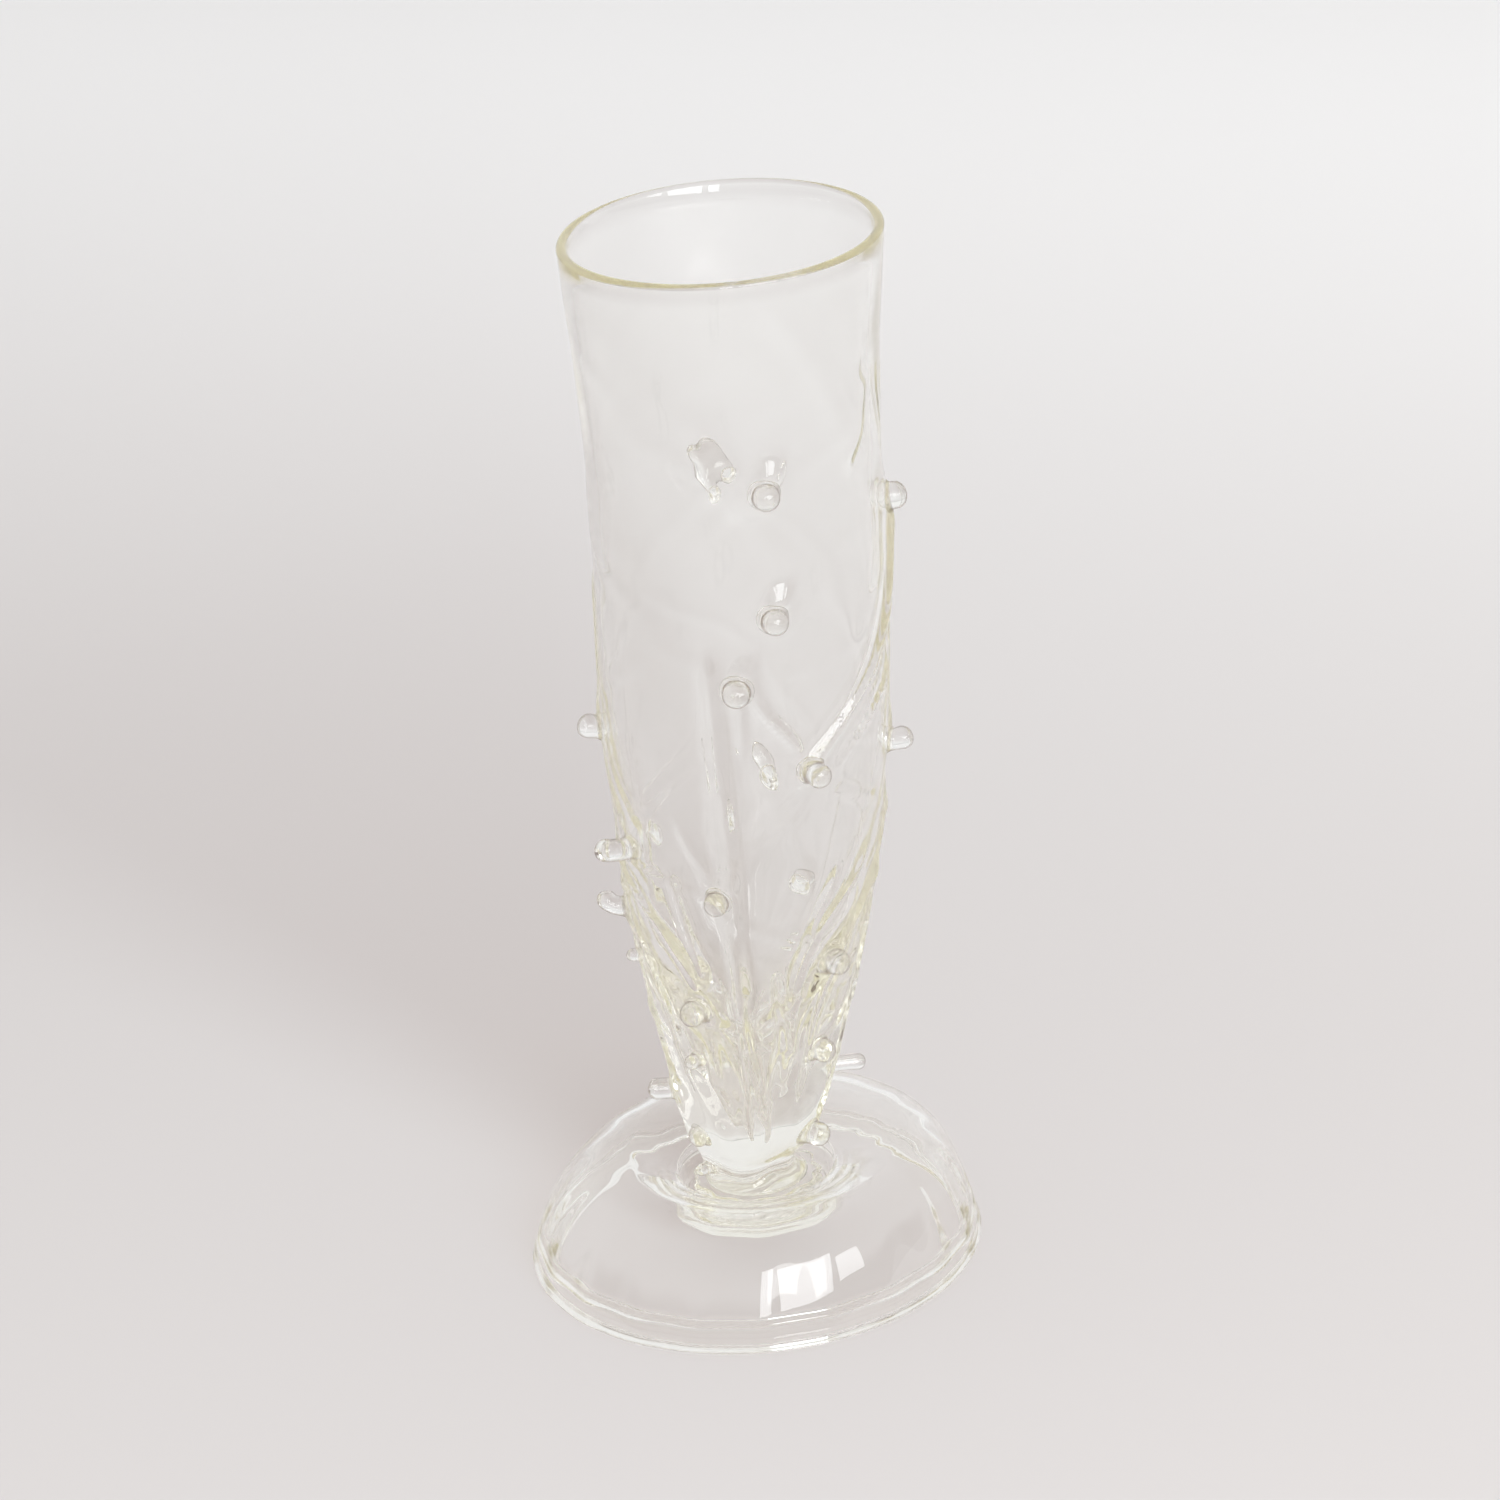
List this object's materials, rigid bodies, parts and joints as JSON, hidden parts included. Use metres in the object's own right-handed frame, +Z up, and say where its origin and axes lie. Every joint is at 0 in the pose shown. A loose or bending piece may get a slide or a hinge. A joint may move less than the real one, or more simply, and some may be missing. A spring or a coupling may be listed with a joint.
{
  "type": "flute glass",
  "caption": "Hand-blown clear flute glass: tall ribbed bowl set with small drawn knobs, solid neck, lobed collar and a hollow domed foot with a folded rim.",
  "frame": {"origin": "middle of the foot's resting face, on the floor", "axes": "+Z up from the foot to the mouth; the bowl leans slightly towards +X; -Y is the side nearest the camera in the picture"},
  "size_m": [0.0849, 0.0849, 0.2],
  "materials": {
    "bowl_glass": "clear fire-polished glass, faintly straw coloured where it is thick",
    "collar_glass": "clear fire-polished glass",
    "foot_glass": "clear fire-polished glass",
    "knob_glass": "clear fire-polished glass"
  },
  "bodies": {
    "root": {"bowl": "bowl_glass", "collar": "collar_glass", "foot": "foot_glass", "knob_shoulder_front": "knob_glass", "knob_shoulder_right": "knob_glass", "knob_shoulder_back": "knob_glass", "knob_upper_front": "knob_glass", "knob_middle_front": "knob_glass", "knob_middle_left": "knob_glass", "knob_middle_right": "knob_glass", "knob_middle_front_right": "knob_glass", "knob_middle_back": "knob_glass", "knob_waist_front_left": "knob_glass", "knob_waist_left": "knob_glass", "knob_waist_back_left": "knob_glass", "knob_waist_front": "knob_glass", "knob_waist_back_right": "knob_glass", "knob_lower_front_right": "knob_glass", "knob_lower_left": "knob_glass", "knob_lower_front_left": "knob_glass", "knob_lower_back_right": "knob_glass", "knob_base_front_right": "knob_glass", "knob_base_front_left": "knob_glass", "knob_base_right": "knob_glass", "knob_base_back_left": "knob_glass", "knob_base_back_right": "knob_glass", "knob_base_left": "knob_glass", "knob_base_back": "knob_glass", "knob_neck_right": "knob_glass", "knob_neck_front_left": "knob_glass", "knob_neck_left": "knob_glass"}
  },
  "joints": []
}
